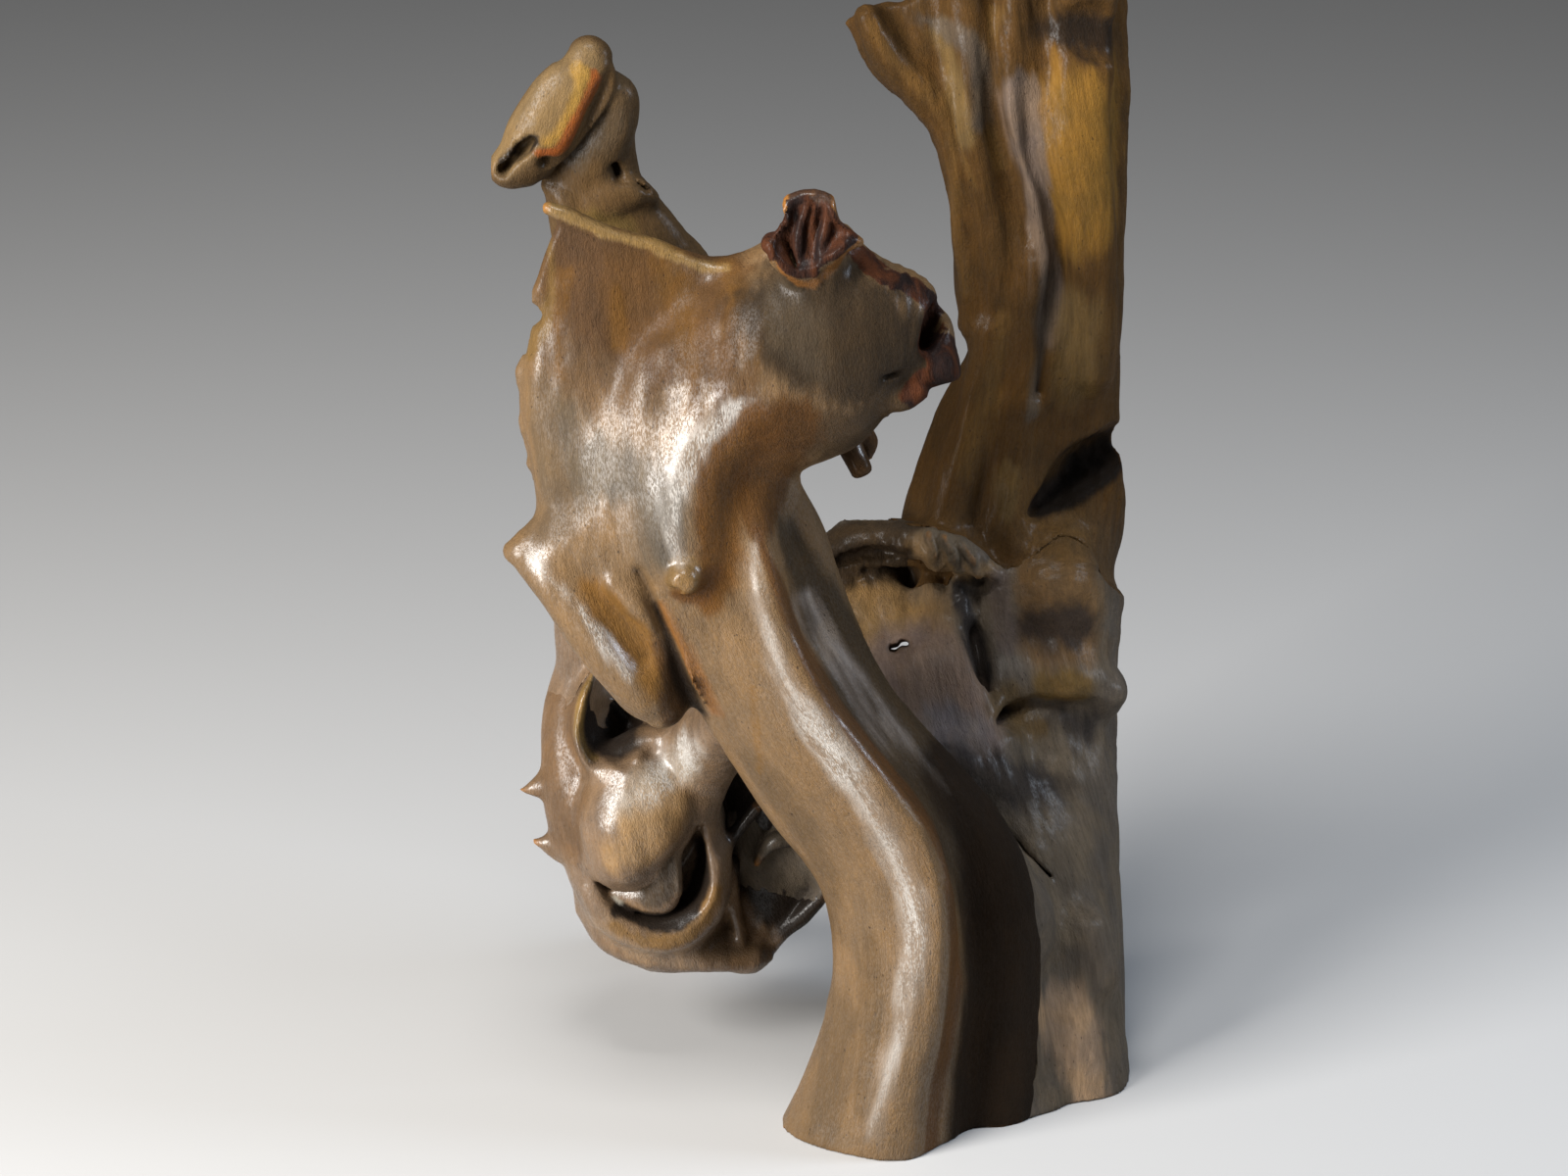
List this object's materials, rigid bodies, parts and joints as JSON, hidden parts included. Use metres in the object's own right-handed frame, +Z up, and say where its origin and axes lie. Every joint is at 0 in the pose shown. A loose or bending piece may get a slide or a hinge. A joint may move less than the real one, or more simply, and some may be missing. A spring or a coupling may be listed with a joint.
{
  "type": "root sculpture",
  "caption": "Varnished natural tree root standing on cut feet: a curved trunk with a torn crown, a hollow burl, a dark seat and a tall ribbed back board.",
  "frame": {"origin": "middle of the bounding box, on the floor that the cut feet stand on", "axes": "+Z up, along the longest extent; -Y towards the viewer of the front trunk; +X to that viewer's right, where the back board rises"},
  "size_m": [0.348, 0.3062, 0.6141],
  "materials": {
    "varnished_root": "hand-rubbed root wood under clear varnish, glossy on the lit faces, ochre to orange on thin rims, near black in the hollows and breaks"
  },
  "bodies": {
    "root": {"front_trunk": "varnished_root", "hollow_burl": "varnished_root", "seat_stump": "varnished_root", "back_board": "varnished_root", "rear_finger": "varnished_root", "hooked_twig": "varnished_root"}
  },
  "joints": []
}
